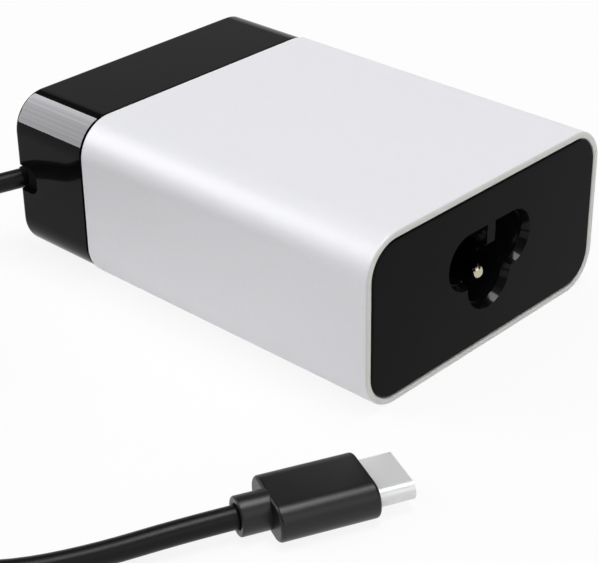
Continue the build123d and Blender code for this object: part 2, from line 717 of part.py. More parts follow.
route_start = Vector(*exit_route[0])
exit_point = Vector(exit_x, rear_y, exit_z)
nub_line = (route_start - exit_point).normalized()
with BuildPart() as cord_grommet:
    add(corner_slot(grommet_gap, *grommet_recess))
    with BuildSketch(Plane(origin=(0, cap_floor_y, exit_z), x_dir=(1, 0, 0), z_dir=FRONTWARD)):
        with Locations(((cap_wall_x + slot_right_x + flange_margin) / 2, 0)):
            Rectangle(slot_right_x + flange_margin - cap_wall_x,
                      slot_height + 2 * flange_margin)
    extrude(amount=flange_depth)
    with Locations(exit_point):
        Sphere(nub_radius)
    with BuildSketch(Plane(origin=exit_point, z_dir=nub_line)):
        Circle(nub_radius)
    with BuildSketch(Plane(origin=route_start, z_dir=Vector(*exit_route[1]) - route_start)):
        Circle(nub_end_radius)
    loft()
save(cord_grommet, "cord_grommet")

# Two leads run from the back of the grommet down to the board.
wire_z = exit_z
wire_x = (cap_wall_x + slot_right_x + flange_margin) / 2
with BuildPart() as output_wires:
    for side in (-wire_spacing / 2, wire_spacing / 2):
        wire_front_y = cap_floor_y - flange_depth
        with BuildLine() as wire_path:
            FilletPolyline((wire_x + side, wire_front_y, wire_z),
                           (wire_x + side, wire_front_y - wire_bend - slip, wire_z),
                           (wire_x + side, wire_front_y - wire_bend - slip, board_top),
                           radius=wire_bend)
        with BuildSketch(Plane(origin=(wire_x + side, wire_front_y, wire_z), z_dir=FRONTWARD)):
            Circle(wire_radius)
        sweep(path=wire_path.wires()[0])
save(output_wires, "output_wires")

# ================================================================ cord
def heading(degrees):
    """Level direction at an angle from +X."""
    return Vector(cos(radians(degrees)), sin(radians(degrees)), 0)


def bend_radii(points):
    """Radius for each bend of a route: as wide as its shorter run comfortably allows."""
    radii = []
    for before, corner, after in zip(points, points[1:], points[2:]):
        into, out_of = corner - before, after - corner
        half_turn = radians(into.get_angle(out_of)) / 2
        radii.append(bend_share * min(into.length, out_of.length) / tan(half_turn))
    return radii


def cord_tube(name, points):
    """Cord along a route of straight runs and tangent arcs, saved under its name."""
    radii = bend_radii(points)
    with BuildPart() as tube:
        with BuildLine() as route:
            FilletPolyline(*points, radius=radii)
        with BuildSketch(Plane(origin=points[0], z_dir=points[1] - points[0])):
            Circle(cord_radius)
        sweep(path=route.wires()[0])
    length = sum(edge.length for edge in route.edges())
    whole = pi * cord_radius**2 * length
    print(name, "bends", [round(value, 1) for value in radii], "length", round(length, 1),
          "volume share", round(tube.part.volume / whole, 4))
    save(tube, name)


layer_low = cord_radius + cord_rest
layer_high = layer_low + (coil_layers - 1) * cord_diameter
coil_middle = Vector(*coil_centre)
coil_outer = coil_turn_radii[-1]
coil_inner = coil_turn_radii[0]
coil_entry = coil_middle + heading(coil_in_angle) * coil_outer + Vector(0, 0, layer_low)
coil_exit = coil_middle + heading(coil_out_angle) * coil_outer + Vector(0, 0, layer_high)
entry_heading = heading(coil_in_angle + 90)
exit_heading = heading(coil_out_angle + 90)
coil_start = coil_entry - entry_heading * coil_lead
coil_end = coil_exit + exit_heading * coil_lead

plug_line = heading(plug_heading)
plug_axis_z = overmould_height / 2
plug_base = Vector(*plug_start, plug_axis_z)
cord_end = plug_base + plug_line * collar_bore_depth

cord_tube("cord_exit_run",
          [Vector(*point) for point in exit_route]
          + [coil_start - entry_heading * lead_run, coil_start])

with BuildPart() as cord_coil:
    with BuildSketch(Plane(origin=coil_middle, x_dir=(1, 0, 0), z_dir=FRONTWARD)):
        with Locations(((coil_inner + coil_outer) / 2, (layer_low + layer_high) / 2)):
            RectangleRounded(coil_outer - coil_inner + cord_diameter,
                             layer_high - layer_low + cord_diameter,
                             2 * nearly_half * cord_radius)
    revolve(axis=Axis((coil_middle.X, coil_middle.Y, 0), UPWARD))
    with BuildSketch(Plane(origin=coil_entry, z_dir=-entry_heading)):
        Circle(cord_radius)
    extrude(amount=coil_lead)
    with BuildSketch(Plane(origin=coil_exit, z_dir=exit_heading)):
        Circle(cord_radius)
    extrude(amount=coil_lead)
save(cord_coil, "cord_coil")

cord_tube("cord_plug_run",
          [coil_end, coil_end + exit_heading * lead_run]
          + [Vector(*point) for point in plug_route]
          + [cord_end - plug_line * lead_run, cord_end])

# ================================================================ USB-C plug
def plug_plane(distance):
    """Plane across the plug, a distance along it from the collar's end; its y is up."""
    return Plane(origin=plug_base + plug_line * distance,
                 x_dir=(-plug_line.Y, plug_line.X, 0), z_dir=plug_line)


face_at = collar_length + overmould_length
mouth_at = face_at + shell_reach
shell_round = shell_height * nearly_half

with BuildPart() as plug_overmould:
    with BuildSketch(plug_plane(collar_length)):
        RectangleRounded(overmould_width, overmould_height, overmould_side_round)
    extrude(amount=overmould_length)
    fillet(plug_overmould.faces().sort_by(Axis(plug_base, plug_line))[0].edges(),
           overmould_end_round)
    fillet(plug_overmould.faces().sort_by(Axis(plug_base, plug_line))[-1].edges(),
           overmould_end_round)
    with BuildSketch(plug_plane(0)):
        Circle(collar_radius)
    extrude(amount=collar_length + overmould_side_round)
    fillet(plug_overmould.faces().sort_by(Axis(plug_base, plug_line))[0].edges(),
           collar_end_round)
    with BuildSketch(plug_plane(0)):
        Circle(cord_radius + collar_bore_gap)
    extrude(amount=collar_bore_depth, mode=Mode.SUBTRACT)
    fillet(plug_overmould.faces().sort_by(Axis(plug_base, plug_line))[0].inner_wires()[0].edges(),
           collar_mouth_round)
    with BuildSketch(plug_plane(face_at - plug_pocket_depth)):
        RectangleRounded(shell_width, shell_height, shell_round)
    extrude(amount=plug_pocket_depth, mode=Mode.SUBTRACT)
save(plug_overmould, "plug_overmould")

with BuildPart() as plug_shell:
    with BuildSketch(plug_plane(face_at - shell_seat)):
        RectangleRounded(shell_width, shell_height, shell_round)
        RectangleRounded(shell_width - 2 * shell_wall, shell_height - 2 * shell_wall,
                         shell_round - shell_wall, mode=Mode.SUBTRACT)
    extrude(amount=shell_seat + shell_reach)
save(plug_shell, "plug_shell")

with BuildPart() as plug_insert:
    with BuildSketch(plug_plane(face_at - shell_seat)):
        RectangleRounded(shell_width - 2 * shell_wall, shell_height - 2 * shell_wall,
                         shell_round - shell_wall)
    extrude(amount=shell_seat + shell_reach - insert_setback)
    with BuildSketch(plug_plane(mouth_at - tongue_slot_depth)):
        Rectangle(tongue_slot_width, tongue_slot_height)
    extrude(amount=tongue_slot_depth, mode=Mode.SUBTRACT)
save(plug_insert, "plug_insert")

slot_bottom = plug_plane(mouth_at - tongue_slot_depth)
with BuildPart() as plug_contacts:
    contact_y = (tongue_slot_height - contact_size[1]) / 2
    with BuildSketch(slot_bottom):
        with Locations((0, contact_y), (0, -contact_y)):
            with GridLocations(contact_pitch, 0, contact_count, 1):
                Rectangle(contact_size[0], contact_size[1])
    extrude(amount=contact_size[2])
save(plug_contacts, "plug_contacts")

with BuildPart() as plug_latches:
    latch_x = (tongue_slot_width - latch_size[0]) / 2
    with BuildSketch(slot_bottom):
        with Locations((-latch_x, 0), (latch_x, 0)):
            Rectangle(latch_size[0], latch_size[1])
    extrude(amount=latch_size[2])
save(plug_latches, "plug_latches")

with BuildPart() as plug_board:
    with BuildSketch(plug_plane(face_at - shell_seat - plug_board_size[2])):
        Rectangle(plug_board_size[0], plug_board_size[1])
    extrude(amount=plug_board_size[2])
save(plug_board, "plug_board")
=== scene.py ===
"""Surfaces, finishes, cord, light and camera for a laptop power adapter with a captive cord.

Lengths in the property groups and on the stage are in metres, as Blender has them.  Those of the
cord's route, the camera's place and the inner finishes are in millimetres, and MM turns them to
metres.  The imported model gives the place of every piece: +Y runs from the mains inlet to the end
cap, and +Z is up.
"""
import math

import bpy
import numpy as np
from bpy.props import FloatProperty, FloatVectorProperty, IntProperty, PointerProperty
from mathutils import Matrix, Vector


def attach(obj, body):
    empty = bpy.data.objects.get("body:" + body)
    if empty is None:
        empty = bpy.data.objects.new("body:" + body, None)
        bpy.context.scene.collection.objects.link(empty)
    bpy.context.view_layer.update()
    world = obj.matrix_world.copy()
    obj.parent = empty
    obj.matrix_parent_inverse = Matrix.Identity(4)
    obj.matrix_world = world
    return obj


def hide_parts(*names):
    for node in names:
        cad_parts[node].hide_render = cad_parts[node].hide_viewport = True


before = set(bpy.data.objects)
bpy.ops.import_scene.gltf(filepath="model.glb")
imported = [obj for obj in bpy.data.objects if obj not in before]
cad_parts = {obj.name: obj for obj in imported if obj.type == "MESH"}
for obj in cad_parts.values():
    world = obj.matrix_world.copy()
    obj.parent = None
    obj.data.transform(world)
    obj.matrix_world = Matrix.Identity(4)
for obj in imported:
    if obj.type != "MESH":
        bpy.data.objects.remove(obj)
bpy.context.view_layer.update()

bl_info = {
    "name": "Laptop Power Adapter",
    "version": (1, 0, 0),
    "blender": (4, 5, 0),
    "location": "3D View > Sidebar > Adapter",
    "description": "Builds the finishes, cord and stage of a laptop power adapter",
    "category": "Object",
}

MM = 0.001


def linear(hex_colour):
    """Turn an sRGB hex colour into the linear colour that shaders take."""
    parts = [int(hex_colour[i:i + 2], 16) / 255 for i in (1, 3, 5)]
    return [p / 12.92 if p <= 0.04045 else ((p + 0.055) / 1.055) ** 2.4 for p in parts] + [1.0]


# ---------------------------------------------------------------- settings
def length(name, description, millimetres):
    """A length property whose default is given in millimetres."""
    return FloatProperty(name=name, description=description, default=millimetres * MM,
                         unit="LENGTH", precision=5)


def colour(name, description, hex_colour):
    """A colour property whose default is given as sRGB hex."""
    return FloatVectorProperty(name=name, description=description, subtype="COLOR", size=4,
                               min=0.0, max=1.0, default=linear(hex_colour))


def amount(name, description, value):
    """A plain factor from 0 to 1."""
    return FloatProperty(name=name, description=description, default=value, min=0.0, max=1.0,
                         subtype="FACTOR")


class HousingSettings(bpy.types.PropertyGroup):
    """Finishes of the sleeve, front panel and end cap."""
    silver: colour("Silver", "Paint of the metal sleeve", "#E7E7EB")
    silver_metal: amount("Metal in paint", "How metallic the silver paint looks", 0.16)
    silver_roughness: amount("Silver roughness", "Gloss of the silver paint", 0.46)
    rim: colour("Rim", "Bare machined ends of the sleeve", "#D8D8D4")
    panel_black: colour("Panel black", "Moulded front panel", "#090909")
    panel_roughness: amount("Panel roughness", "Gloss of the front panel", 0.36)
    cap_black: colour("Cap black", "Polished end cap", "#0E0D0D")
    cap_roughness: amount("Cap roughness", "Gloss of the end cap", 0.05)


class CordSettings(bpy.types.PropertyGroup):
    """Size and winding of the loose cord."""
    diameter: length("Diameter", "Outside of the cord's jacket", 3.0)
    ring_outside: length("Outer turn", "Radius of the coil's outermost turns", 20.8)
    rings: IntProperty(name="Rings", description="Turns side by side in a layer", default=3)
    layers: IntProperty(name="Layers", description="Layers of turns on each other", default=4)
    jacket: colour("Jacket", "Cord and plug grip", "#070707")
    jacket_roughness: amount("Jacket roughness", "Gloss of the soft jacket", 0.36)


class PlugSettings(bpy.types.PropertyGroup):
    """Finish of the plug's metal."""
    steel: colour("Shell", "Plug shell metal", "#E3E3E4")
    steel_metal: amount("Metal in shell", "How metallic the satin plating looks", 0.35)
    steel_roughness: amount("Shell roughness", "Gloss of the plug shell", 0.32)


class StageSettings(bpy.types.PropertyGroup):
    """Floor, lamps and camera."""
    floor_white: colour("Floor", "Pale floor and sweep", "#E6E6E6")
    floor_glow: amount("Floor glow", "How far the seen floor is lifted to white", 0.88)
    wall: FloatProperty(name="Wall", description="Radiance of the wall behind the object",
                        default=0.45)
    ceiling: FloatProperty(name="Ceiling", description="Radiance straight above", default=0.5)
    gap: FloatProperty(name="Gap", description="Radiance of the dark rest of the room",
                       default=0.04)
    overhead: FloatProperty(name="Overhead lamp", description="Radiance of the box overhead",
                            default=12.8)
    left_lamp: FloatProperty(name="Left lamp", description="Radiance of the box on the left",
                             default=0.4)
    rear_lamp: FloatProperty(name="Rear lamp", description="Radiance of the box behind on the left",
                             default=3.1)
    front_lamp: FloatProperty(name="Front lamp", description="Radiance of the box in front",
                              default=1.5)
    arch: FloatProperty(name="Arch", description="Radiance of the white arch that the cap mirrors",
                        default=34.0)
    lens: FloatProperty(name="Lens", description="Focal length of the camera, in mm",
                        default=104.41)


# ---------------------------------------------------------------- shader helpers
def add_node(tree, kind, inputs=None, **settings):
    """Add one shader node, apply its settings, and link or set the given inputs."""
    node = tree.nodes.new(kind)
    for name, value in settings.items():
        setattr(node, name, value)
    for name, value in (inputs or {}).items():
        if isinstance(value, bpy.types.NodeSocket):
            tree.links.new(value, node.inputs[name])
        else:
            node.inputs[name].default_value = value
    return node


def new_material(name):
    """An empty node material, with its node tree."""
    material = bpy.data.materials.new(name)
    material.use_nodes = True
    material.node_tree.nodes.clear()
    return material, material.node_tree


def finish_material(tree, inputs, metallic=0.0, specular=0.5):
    """Close a material with a Principled shader that has the given inputs."""
    shader = add_node(tree, "ShaderNodeBsdfPrincipled",
                      {"Metallic": metallic, "Specular IOR Level": specular, **inputs})
    add_node(tree, "ShaderNodeOutputMaterial", {"Surface": shader.outputs["BSDF"]})


def follow(tree, pattern, tones=None, gloss=None, depth=None, where=None):
    """Shader inputs that follow a pattern, which is a socket from 0 to 1.

    tones holds the two colours that it blends, gloss the two roughnesses, and depth the height
    of its relief in metres.  The relief is only there as far as the socket where is 1.
    """
    inputs = {}
    if tones:
        dark, light = tones
        inputs["Base Color"] = add_node(tree, "ShaderNodeMix", {0: pattern, 6: dark, 7: light},
                                        data_type="RGBA").outputs[2]
    if gloss:
        low, high = gloss
        inputs["Roughness"] = add_node(tree, "ShaderNodeMapRange",
                                       {"Value": pattern, "To Min": low, "To Max": high}
                                       ).outputs["Result"]
    if depth:
        height = pattern
        if where:
            height = add_node(tree, "ShaderNodeMath", {0: where, 1: pattern},
                              operation="MULTIPLY").outputs[0]
        inputs["Normal"] = add_node(tree, "ShaderNodeBump",
                                    {"Height": height, "Distance": depth, "Strength": 1.0}
                                    ).outputs["Normal"]
    return inputs


def mottle(tree, size, detail, drawn_out=None, **looks):
    """Shader inputs that follow noise whose blotches are about size metres across.

    drawn_out holds the rotation and scale of a Mapping node that turns blotches into lines.
    """
    place = add_node(tree, "ShaderNodeTexCoord").outputs["Object"]
    if drawn_out:
        place = add_node(tree, "ShaderNodeMapping", {"Vector": place, **drawn_out}
                         ).outputs["Vector"]
    noise = add_node(tree, "ShaderNodeTexNoise",
                     {"Vector": place, "Scale": 1.0 / size, "Detail": detail})
    return follow(tree, noise.outputs["Fac"], **looks)


def facing_along_y(tree, low, high):
    """0 to 1 as a surface turns from facing sideways or up to facing the inlet or the cap end."""
    normal = add_node(tree, "ShaderNodeNewGeometry").outputs["True Normal"]
    along = add_node(tree, "ShaderNodeSeparateXYZ", {"Vector": normal}).outputs["Y"]
    size = add_node(tree, "ShaderNodeMath", {0: along}, operation="ABSOLUTE").outputs[0]
    return add_node(tree, "ShaderNodeMapRange", {"Value": size, "From Min": low, "From Max": high}
                    ).outputs["Result"]


def dimmed(rgba, factor):
    """The same colour, darker or lighter by a factor."""
    return [min(c * factor, 1.0) for c in rgba[:3]] + [1.0]


def shades(rgba, low, high):
    """The two colours that are low and high times as bright as the given one."""
    return dimmed(rgba, low), dimmed(rgba, high)


def around(middle, reach):
    """The two values that lie the same reach below and above the middle."""
    return middle - reach, middle + reach


# ---------------------------------------------------------------- materials
# How far a normal points along Y where one finish starts to pass into another and where it ends.
RIM_FACING = (0.3, 0.6)
FACE_FACING = (0.6, 0.9)
# The plug's heading in degrees from +X, and the scale that draws its lines out along it.
PLUG_HEADING, LINE_STRETCH = -25.0, 0.06
# Thickness of the copper wire, and the turn in radians of a wave texture at scale 1 in a metre.
WIRE, WAVE_RADIANS = 0.9 * MM, 20.0


def silver_paint(settings):
    """Satin silver paint over drawn aluminium: fine flakes give it a soft, even sheen.

    Real flakes, of about 0.03 mm, are too fine to show, so they are drawn 0.22 mm across.  The
    sleeve's machined ends are bare metal, which is duller.
    """
    material, tree = new_material("satin_silver_paint")
    inputs = mottle(tree, size=0.22 * MM, detail=1.0, depth=0.0012 * MM,
                    tones=shades(settings.silver, 0.965, 1.035))
    inputs |= mottle(tree, size=14 * MM, detail=2.0, gloss=around(settings.silver_roughness, 0.03))
    inputs |= follow(tree, facing_along_y(tree, *RIM_FACING),
                     tones=(inputs["Base Color"], list(settings.rim)))
    finish_material(tree, inputs, metallic=settings.silver_metal)
    return material


def polished_abs(settings):
    """Polished black ABS: a mirror gloss with the faint waviness of a thick moulding."""
    material, tree = new_material("polished_black_abs")
    rough = settings.cap_roughness
    inputs = mottle(tree, size=2.5 * MM, detail=3.0, gloss=around(rough, 0.3 * rough),
                    tones=shades(settings.cap_black, 0.85, 1.15))
    inputs |= mottle(tree, size=9 * MM, detail=1.0, depth=0.003 * MM)
    finish_material(tree, inputs, specular=0.07)
    return material


def eroded_abs(settings):
    """Black ABS from a spark-eroded mould: a fine, even grain that reads as satin.

    Its face alone is eroded, and the mouth that leads the mains plug in is polished.  Real pits,
    of about 0.05 mm, are too fine to show, so they are drawn 0.16 mm across.
    """
    material, tree = new_material("satin_black_abs")
    face = facing_along_y(tree, *FACE_FACING)
    inputs = mottle(tree, size=0.16 * MM, detail=2.0, depth=0.004 * MM, where=face,
                    gloss=around(settings.panel_roughness, 0.06))
    inputs |= mottle(tree, size=6 * MM, detail=2.0, tones=shades(settings.panel_black, 0.9, 1.15))
    polish = add_node(tree, "ShaderNodeMapRange", {"Value": face, "To Min": 0.25, "To Max": 0.0})
    inputs |= {"Coat Weight": polish.outputs["Result"], "Coat Roughness": 0.1}
    finish_material(tree, inputs, specular=0.04)
    return material


def socket_nylon():
    """Smooth black nylon of the inlet block, glossier than the panel round it."""
    return plain_finish("black_inlet_nylon", "#0C0D11", "#131419", size=1.6, roughness=0.2,
                        reach=0.04, depth=0.004, specular=0.4)


def nickel_plate():
    """Nickel plate on brass pins: a warm bright metal with faint turning marks.

    Real marks, of about 0.02 mm, are too fine to show, so they are drawn 0.12 mm across.
    """
    return plain_finish("nickel_plated_brass", "#B5AD98", "#C6BFAC", size=0.12, roughness=0.06,
                        reach=0.02, depth=0.002, metallic=1.0, detail=2.0)


def soft_jacket(settings, name, specular):
    """Soft black PVC or TPE of cord and grip: matt in the hand, with a low, broad sheen.

    The skin's real grain, of about 0.05 mm, is too fine to show, so it is drawn at 0.2 mm.
    """
    material, tree = new_material(name)
    inputs = mottle(tree, size=0.2 * MM, detail=3.0, depth=0.006 * MM,
                    gloss=around(settings.jacket_roughness, 0.05))
    inputs |= mottle(tree, size=5 * MM, detail=2.0, tones=shades(settings.jacket, 0.88, 1.15))
    finish_material(tree, inputs, specular=specular)
    return material


def drawn_steel(settings):
    """Nickel-plated drawn steel of the plug shell: fine lines run along the draw.

    Real lines, of about 0.02 mm, are too fine to show, so they are drawn 0.25 mm wide.
    """
    material, tree = new_material("drawn_nickel_steel")
    along_plug = {"Rotation": (0.0, 0.0, math.radians(-PLUG_HEADING)),
                  "Scale": (LINE_STRETCH, 1.0, 1.0)}
    inputs = mottle(tree, size=0.25 * MM, detail=1.0, drawn_out=along_plug, depth=0.0004 * MM,
                    tones=shades(settings.steel, 0.98, 1.01),
                    gloss=around(settings.steel_roughness, 0.03))
    finish_material(tree, inputs, metallic=settings.steel_metal)
    return material


def plain_finish(name, dark, light, size, roughness, metallic=0.0, specular=0.5, reach=0.06,
                 depth=0.01, detail=3.0):
    """A finish mottled between two colours: blotches size millimetres across, depth high.

    Its roughness varies by reach to either side.
    """
    material, tree = new_material(name)
    inputs = mottle(tree, size=size * MM, detail=detail, depth=depth * MM,
                    tones=(linear(dark), linear(light)), gloss=around(roughness, reach))
    finish_material(tree, inputs, metallic=metallic, specular=specular)
    return material


def copper_turns():
    """Enamelled copper wire: a glossy red brown, in soft bands that show how it is wound.

    Single turns are too fine to show, so a band is drawn 2 pi wires wide.
    """
    material, tree = new_material("enamelled_copper_turns")
    place = add_node(tree, "ShaderNodeTexCoord").outputs["Object"]
    bands = add_node(tree, "ShaderNodeTexWave",
                     {"Vector": place, "Scale": 1.0 / WIRE / WAVE_RADIANS, "Distortion": 0.4},
                     wave_type="BANDS", bands_direction="Z").outputs["Fac"]
    inputs = follow(tree, bands, tones=(linear("#6E3516"), linear("#C2743A")), depth=0.12 * MM)
    finish_material(tree, {"Roughness": 0.3, **inputs}, metallic=1.0)
    return material


# ---------------------------------------------------------------- mesh helpers
def add_object(name, data, material, stand_for):
    """Put a finished piece in the scene, riding on the housing in place of CAD nodes."""
    piece = bpy.data.objects.new(name, data)
    bpy.context.scene.collection.objects.link(piece)
    data.materials.append(material)
    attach(piece, "root")
    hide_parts(*stand_for)
    return piece


def dress(material, *names):
    """Give CAD nodes a finish."""
    for name in names:
        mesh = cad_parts[name].data
        mesh.materials.clear()
        mesh.materials.append(material)


def grid_mesh(name, points, closed=False):
    """A mesh from a grid of points, rows by columns; closed joins the last column to the first."""
    rows, columns = points.shape[:2]
    index = np.arange(rows * columns).reshape(rows, columns)
    left = index if closed else index[:, :-1]
    right = np.roll(index, -1, axis=1) if closed else index[:, 1:]
    faces = np.stack([left[:-1], right[:-1], right[1:], left[1:]], axis=-1).reshape(-1, 4)
    mesh = bpy.data.meshes.new(name)
    mesh.from_pydata(points.reshape(-1, 3).tolist(), [], faces.tolist())
    mesh.shade_smooth()
    return mesh


# ---------------------------------------------------------------- cord
# Places and lengths of the route are in millimetres, and angles in degrees from +X.
# The first point of EXIT_ROUTE is the mouth of the grommet, and the routes are the points that the
# cord passes on its way to the coil and from the coil to the plug.
EXIT_ROUTE = [(-22.9, 36.6, 10.9), (-29.8, 40.2, 10.1), (-37.4, 44.0, 6.0)]
PLUG_ROUTE = [(-89.1, 1.3, 7.2), (-87.9, -8.6, 2.9), (-85.0, -18.2, 1.55),
              (-77.6, -26.6, 1.55), (-69.0, -31.7, 1.65)]
# The coil's middle, and the angles at which the cord comes to it and leaves it.
COIL_CENTRE = (-71.1, 34.3)
COIL_IN, COIL_OUT = 70.0, 185.0
# How far off its turns the coil's straight leads start, the run between the two points that hold
# a lead straight, and the room under the cord.
COIL_LEAD, LEAD_RUN, REST = 12.5, 8.0, 0.05
# Where the grip starts, the height of its axis, and how deep the cord goes into it.
PLUG_START, PLUG_AXIS, BORE_DEPTH = (-53.35, -39.3), 2.5, 1.5
# How far the cord reaches back into the grommet, as a share of its first run.
START_SHARE = 0.12
# Whole turns of the coil, the share of a turn that a step takes, and the points in a turn.
FULL_TURNS, STEP, POINTS_A_TURN = 10, 0.2, 24


def toward(degrees):
    """Level unit vector at an angle from +X."""
    return np.array([math.cos(math.radians(degrees)), math.sin(math.radians(degrees)), 0.0])


def ease(x):
    """Goes from 0 to 1 along half a cosine wave while x goes from 0 to 1."""
    return 0.5 - 0.5 * np.cos(np.pi * np.clip(x, 0.0, 1.0))


def coil_points(settings):
    """Control points of the wound cord, in millimetres.

    The radius steps in ring by ring in one layer and out in the next, each step taking a share
    of a turn, and between layers the cord climbs by its own thickness.  Each climb and the steps
    after it start a little earlier in their turn than those below, so that the turns never meet.
    """
    pitch = settings.diameter / MM
    total = FULL_TURNS + (COIL_OUT - COIL_IN) / 360.0
    turns = np.linspace(0.0, total, int(total * POINTS_A_TURN) + 1)
    radius = np.full_like(turns, settings.ring_outside / MM)
    height = np.full_like(turns, pitch / 2 + REST)
    steps = settings.rings - 1
    passes = settings.layers * (steps + 1) - 1
    start = total - passes + 2 * (settings.layers - 1) * STEP
    for layer in range(settings.layers):
        way = -1.0 if layer % 2 == 0 else 1.0
        for _ in range(steps):
            radius += way * pitch * ease((turns - start) / STEP)
            start += 1.0
        if layer < settings.layers - 1:
            height += pitch * ease((turns - start + STEP) / STEP)
            start += 1.0 - 2 * STEP
    angle = np.radians(COIL_IN) + 2 * np.pi * turns
    reach = radius / math.cos(math.pi / POINTS_A_TURN)
    return np.stack([COIL_CENTRE[0] + reach * np.cos(angle),
                     COIL_CENTRE[1] + reach * np.sin(angle), height], axis=1)


def cord_points(settings):
    """Control points of the whole cord, from the grommet through the coil to the plug.

    The coil's ends lie on its outer turn.  Two points on the tangent at each end lead the cord in
    at the lowest layer and out at the highest, and two on the plug's axis lead it into the grip.
    """
    low = settings.diameter / MM / 2 + REST
    high = low + (settings.layers - 1) * settings.diameter / MM
    outer = settings.ring_outside / MM
    middle = np.array([*COIL_CENTRE, 0.0])
    entry = middle + toward(COIL_IN) * outer + [0, 0, low]
    leave = middle + toward(COIL_OUT) * outer + [0, 0, high]
    entry_way, leave_way = toward(COIL_IN + 90), toward(COIL_OUT + 90)
    plug_way = toward(PLUG_HEADING)
    end = np.array([*PLUG_START, PLUG_AXIS]) + plug_way * BORE_DEPTH
    leaving = np.array(EXIT_ROUTE[0])
    start = leaving + (leaving - EXIT_ROUTE[1]) * START_SHARE
    lead_in = entry - entry_way * COIL_LEAD
    lead_out = leave + leave_way * COIL_LEAD
    return np.vstack([
        [start], EXIT_ROUTE, [lead_in - entry_way * LEAD_RUN, lead_in],
        coil_points(settings),
        [lead_out, lead_out + leave_way * LEAD_RUN], PLUG_ROUTE,
        [end - plug_way * LEAD_RUN, end],
    ]) * MM


class ADAPTER_OT_cord(bpy.types.Operator):
    """Lay the cord from the grommet through its coil to the plug"""
    bl_idname = "adapter.cord"
    bl_label = "Cord"

    def execute(self, context):
        settings = context.scene.adapter_cord
        points = cord_points(settings)
        curve = bpy.data.curves.new("cord", "CURVE")
        curve.dimensions = "3D"
        curve.bevel_depth = settings.diameter / 2
        curve.bevel_resolution = 7
        curve.use_fill_caps = True
        curve.resolution_u = 5
        spline = curve.splines.new("NURBS")
        spline.points.add(len(points) - 1)
        spline.points.foreach_set("co", np.column_stack([points, np.ones(len(points))]).ravel())
        spline.order_u = 3
        spline.use_endpoint_u = True
        cord = add_object("cord", curve, soft_jacket(settings, "black_pvc_cord", 0.2),
                          ("cord_exit_run", "cord_coil", "cord_plug_run"))
        dress(soft_jacket(settings, "black_tpe_grip", 0.42), "plug_overmould")
        # Soft PVC from a blasted mould, matt; its near-black colour and low gloss are painted
        # shade, so that it reads as a dark, matt recess.
        dress(plain_finish("near_black_grommet_painted_recess_shade", "#030303", "#060606", 0.6, 0.75, specular=0.1),
              "cord_grommet")
        return {"FINISHED"}


# ---------------------------------------------------------------- housing, inlet, plug, inside
class ADAPTER_OT_housing(bpy.types.Operator):
    """Finish the sleeve, front panel and end cap"""
    bl_idname = "adapter.housing"
    bl_label = "Housing"

    def execute(self, context):
        settings = context.scene.adapter_housing
        dress(silver_paint(settings), "sleeve")
        dress(polished_abs(settings), "rear_cap")
        dress(eroded_abs(settings), "front_panel")
        return {"FINISHED"}


class ADAPTER_OT_inlet(bpy.types.Operator):
    """Finish the mains inlet and its pins"""
    bl_idname = "adapter.inlet"
    bl_label = "Mains inlet"

    def execute(self, context):
        dress(socket_nylon(), "inlet_body")
        dress(nickel_plate(), "line_pin", "neutral_pin", "earth_pin", "terminal_tabs")
        return {"FINISHED"}


class ADAPTER_OT_plug(bpy.types.Operator):
    """Finish the plug's shell, contacts and insert"""
    bl_idname = "adapter.plug"
    bl_label = "Plug"

    def execute(self, context):
        settings = context.scene.adapter_plug
        dress(drawn_steel(settings), "plug_shell", "plug_latches")
        # Filled nylon, moulded: satin black.
        dress(plain_finish("black_plug_insert", "#0A0A0B", "#121213", 0.5, 0.4), "plug_insert")
        # Gold, flashed over nickel: warm and bright.
        dress(plain_finish("gold_flash", "#B98A3A", "#D8A94E", 0.3, 0.25, 1.0), "plug_contacts")
        return {"FINISHED"}


